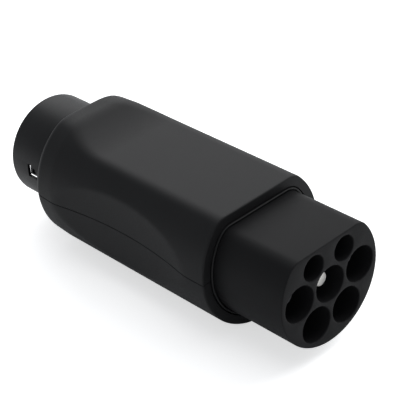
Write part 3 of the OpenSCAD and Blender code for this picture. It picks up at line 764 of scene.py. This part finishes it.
# Moulded grey polyamide: smoother than the blocks, so that the cap's rim catches some light
cap_plastic = moulded_plastic(
    "dark_grey_cap_plastic", "#48484b", "#525255", roughness=0.42, grain=0.4, sheen=0.35)
stem = [
    (stem_tip, 0, 0), (stem_tip, stem_r, 0.2), (cap_rear, stem_r, 0),
    (cap_rear, power_pin_r, 0.1), *power_tail,
]
cap_outline = [
    (cap_tip, 0, 0), (cap_tip, power_pin_r, 0.9), (cap_rear, power_pin_r, 0.1),
    (cap_rear, cap_bore_r, 0), (cap_floor, cap_bore_r, 0), (cap_floor, 0, 0),
]
caps = {"plug_pin_l1": "pin_cap_l1", "plug_pin_n": "pin_cap_n"}
for (node, cap), centre in zip(caps.items(), middle_row):
    turned_piece(node, centre, stem, silver)
    turned_piece(cap, centre, cap_outline, cap_plastic)


# Behind the plug a carrier of glass-filled polyamide closes the wells: the ends of its spigots
# are their floors. A retainer plate traps the pins' collars, and three screws hold both.
def finish(node, material):
    """Gives a CAD node its material."""
    piece = bpy.data.objects[node]
    piece.data.materials.clear()
    piece.data.materials.append(material)


# Glass-filled polyamide from a plain tool: dull, black on the carrier and grey on the plate
carrier_plastic = moulded_plastic(
    "black_polyamide_glass_filled", "#121213", "#18181a", roughness=0.6, grain=0.5)
retainer_plastic = moulded_plastic(
    "grey_polyamide_glass_filled", "#5c5d60", "#66676a", roughness=0.55, grain=0.5)
finish("pin_carrier", carrier_plastic)
finish("nose_retainer", retainer_plastic)
plate_rear = -50.2
seats = [(plate_rear, y, z) for y, z in ((-19, 10), (19, 10), (0, -22.5))]
screws("nose_retainer_screws", seats, (2.3, 1.6, 1.2, 12), (-1, 0, 0))


# The barrel is the shroud of the inlet, moulded of polyamide in one with the D-shaped flange
# that the shells trap. An L-shaped slot in each side frees a spring clip with a square eye,
# and a shallow notch on top takes the latch of the cable's connector.
def drawn(bm, outline, near, far):
    """A solid of an outline in (x, z), from one place across to another."""
    rings = []
    for y in (near, far):
        rings.append([bm.verts.new(p) for p in placed([(x, y, z) for x, z in outline])])
    join(bm, *rings, closed=True)
    for ring in rings:
        bm.faces.new(ring)


def oblong(x, z, length, height):
    """Four corners in (x, z) from the lowest and rearmost one."""
    return [(x, z), (x + length, z), (x + length, z + height), (x, z + height)]


# Polyamide from a polished tool: the same black as the plug with a slightly clearer sheen. Its
# grain is drawn at 0.4 mm, coarser than real.
barrel_plastic = moulded_plastic(
    "black_polyamide_barrel", "#161617", "#1c1c1d", roughness=0.45, grain=0.4)
rim_x, barrel_r, bore_r, cavity_floor, barrel_rear = -169.1, 23.3, 21.95, -141.5, -133.5
groove_front, groove_rear, groove_r = -142, -140.2, 22.2
insert_r, insert_gap = 17.4, 0.15
sleeve_r = insert_r + insert_gap
bm = bmesh.new()
turned(bm, (0, 0), rounded([
    (rim_x, barrel_r, 0.5), (groove_front, barrel_r, 0), (groove_front, groove_r, 0),
    (groove_rear, groove_r, 0), (groove_rear, barrel_r, 0), (barrel_rear, barrel_r, 0.3),
    (barrel_rear, sleeve_r, 0.2), (cavity_floor, sleeve_r, 0.3),
    (cavity_floor, bore_r, 0), (rim_x, bore_r, 0.35),
]), steps=192, loop=True)
barrel = finished("inlet_shroud", bm, barrel_plastic)

d_near, d_far, d_r, d_top, d_corner, d_inside = -139.6, -136.6, 28.05, 26.44, 7, 21
turns = full_turn(180)
flange = [flat_topped_row(x, d_r, d_top, d_corner, turns) for x in (d_near, d_far)]
flange += [circle_row(x, d_inside, turns) for x in (d_far, d_near)]
bm = bmesh.new()
rings = skinned(bm, flange)
join(bm, rings[-1], rings[0], closed=True)
cut_or_joined(barrel, bm, "UNION")

clip_x, clip_z, clip_len, clip_high, slot_w = -157.9, -1.9, 6.2, 6.1, 2.1
slot = [
    (clip_x, clip_z), (clip_x + clip_len, clip_z), (clip_x + clip_len, clip_z + slot_w),
    (clip_x + slot_w, clip_z + slot_w), (clip_x + slot_w, clip_z + clip_high),
    (clip_x, clip_z + clip_high),
]
eye_w, eye_behind, eye_above = 2.3, 1.1, 0.6
eye = oblong(clip_x + slot_w + eye_behind, clip_z + slot_w + eye_above, eye_w, eye_w)
through, eye_floor, past_side = 20.3, 22.5, 24.3
bm = bmesh.new()
for side in (-1, 1):
    drawn(bm, [(x, -side * z) for x, z in slot], side * through, side * past_side)
    drawn(bm, [(x, -side * z) for x, z in eye], side * eye_floor, side * past_side)
notch_x, notch_floor, notch_len, notch_high, notch_w = -148.9, 22.4, 5.4, 2, 9
drawn(bm, oblong(notch_x, notch_floor, notch_len, notch_high), -notch_w / 2, notch_w / 2)
screw_ring, tap_r, tap_end, past_rear = 19.5, 1.05, -139.5, -132
inlet_screws = [
    (screw_ring * math.cos(turn), screw_ring * math.sin(turn))
    for turn in np.radians((90, 210, 330))
]
for centre in inlet_screws:
    tap = [(tap_end, 0), (tap_end, tap_r), (past_rear, tap_r), (past_rear, 0)]
    turned(bm, centre, tap, steps=24)
cut_or_joined(barrel, bm, "DIFFERENCE")
stands_in(barrel, "inlet_barrel")


# The insert stands in the middle of the shroud and leaves a ring gap for the connector's nose.
# It is a plain block of polyamide with five wells whose mouths are eased.
inlet_power = [(-7.9, 6.8), (7.9, 6.8)]
inlet_earth = (0, -10.6)
inlet_signal = [(-10.7, -4.6), (10.7, -4.6)]
inlet_power_well_r, inlet_earth_well_r, inlet_signal_well_r = 5, 4.6, 3.2
insert_face, mouth_edge, signal_mouth_edge = -163.6, 0.35, 0.3
outline = rounded([
    (insert_face, 0, 0), (insert_face, insert_r, 0.6), (barrel_rear, insert_r, 0.2),
    (barrel_rear, 0, 0),
])
rows = [circle_row(x, r, full_turn(160)) for x, r in outline[1:-1]]
wells = [(centre, inlet_power_well_r, mouth_edge) for centre in inlet_power]
wells.append((inlet_earth, inlet_earth_well_r, mouth_edge))
wells += [(centre, inlet_signal_well_r, signal_mouth_edge, 40) for centre in inlet_signal]
insert = block_with_wells("insert_block", rows, wells, barrel_plastic)
stands_in(insert, "inlet_insert")


# The contacts of the inlet are turned and silver plated like those of the plug, with round
# noses so that the cable's sleeves slide on. The earth pin stands furthest back towards the
# rim, and the signal pins are thin and short.
inlet_collar_front, inlet_collar_rear, inlet_tail_end = -133, -131, -119.5
inlet_step, inlet_collar = 0.4, 1.2


def inlet_outline(tip, r, nose, cup, core):
    """A pin of the inlet, from its round nose at the tip to its cup for the lead's core."""
    cup_floor = inlet_tail_end - cup_depth
    return [
        (tip, 0, 0), (tip, r, nose), (cavity_floor, r, 0), (cavity_floor, r + inlet_step, 0.1),
        (inlet_collar_front, r + inlet_step, 0), (inlet_collar_front, r + inlet_collar, 0.15),
        (inlet_collar_rear, r + inlet_collar, 0), (inlet_collar_rear, cup, 0),
        (inlet_tail_end, cup, 0.2), (inlet_tail_end, core, 0.1), (cup_floor, core, 0),
        (cup_floor, 0, 0),
    ]


power_outline = inlet_outline(tip=-160.1, r=1.8, nose=0.81, cup=2.5, core=power_core_r)
earth_outline = inlet_outline(tip=-161.1, r=1.4, nose=0.63, cup=2.5, core=power_core_r)
signal_outline = inlet_outline(tip=-157.6, r=0.75, nose=0.33, cup=1.3, core=signal_core_r)
for node, centre in zip(("inlet_pin_l1", "inlet_pin_n"), inlet_power):
    turned_piece(node, centre, power_outline, silver)
turned_piece("inlet_pin_pe", inlet_earth, earth_outline, silver)
for node, centre in zip(("inlet_pin_cp", "inlet_pin_pp"), inlet_signal):
    turned_piece(node, centre, signal_outline, silver, steps=28)


# A carrier behind the insert closes its wells, and a retainer traps the collars of its pins.
# An O-ring seals the barrel in the shells. All of it is hidden in the closed body.
finish("inlet_carrier", carrier_plastic)
finish("inlet_retainer", retainer_plastic)
finish("inlet_o_ring", seal_rubber)
inlet_plate_x = -128.5
seats = [(inlet_plate_x, *centre) for centre in inlet_screws]
screws("inlet_retainer_screws", seats, (1.9, 1.5, 1, 10), (1, 0, 0))


# Five leads with jackets of soft PVC run from pin to pin: brown and blue for power, green with
# a yellow stripe for earth, white and orange for the signals. A lacquered resistor with colour
# bands is bridged between the orange lead and earth.
def jacket(name, dark, light, stripe=None):
    """Dull, faintly uneven coating. A stripe is a colour, a direction and a pitch in mm."""
    dimple, stripe_edge = 3.33, 0.6
    material, tree = blank_material(name)
    place = add(tree, "ShaderNodeTexCoord", {}).outputs["Object"]
    uneven = add(tree, "ShaderNodeTexNoise", {
        "Vector": place, "Scale": 1000 / dimple, "Detail": 2.0,
    })
    colour = add(tree, "ShaderNodeMix", {
        "data_type": "RGBA", "Factor": uneven.outputs["Fac"], 6: linear(dark), 7: linear(light),
    }).outputs[2]
    if stripe:
        other, direction, pitch = stripe
        bands = add(tree, "ShaderNodeTexWave", {
            "Vector": place, "bands_direction": direction, "Scale": band_scale(pitch),
        })
        edge = add(tree, "ShaderNodeMath", {
            "operation": "GREATER_THAN", 0: bands.outputs["Fac"], 1: stripe_edge,
        })
        colour = add(tree, "ShaderNodeMix", {
            "data_type": "RGBA", "Factor": edge.outputs[0], 6: colour, 7: linear(other),
        }).outputs[2]
    bump = add(tree, "ShaderNodeBump", {
        "Height": uneven.outputs["Fac"], "Strength": 0.2, "Distance": 0.00005,
    })
    skin = add(tree, "ShaderNodeBsdfPrincipled", {
        "Base Color": colour, "Roughness": 0.5, "Specular IOR Level": 0.3,
        "Normal": bump.outputs[0],
    })
    add(tree, "ShaderNodeOutputMaterial", {"Surface": skin.outputs[0]})
    return material


# Extruded PVC is plain and dull in its own colour, and the resistor's lacquer is tan
for node, name, dark, light, stripe in (
    ("lead_l1", "brown_pvc", "#5a3118", "#663a1f", None),
    ("lead_n", "blue_pvc", "#1d4e9e", "#2559ad", None),
    ("lead_pe", "green_yellow_pvc", "#3d8a1c", "#4a9a26", ("#d8cc24", "Z", 3.49)),
    ("lead_cp", "white_pvc", "#d2d2ce", "#dcdcd8", None),
    ("lead_cc", "orange_pvc", "#cf6f1c", "#da7c28", None),
    ("coding_resistor", "banded_resistor_lacquer", "#b59a6a", "#c2a878", ("#6b3a1c", "Y", 1.85)),
):
    finish(node, jacket(name, dark, light, stripe))
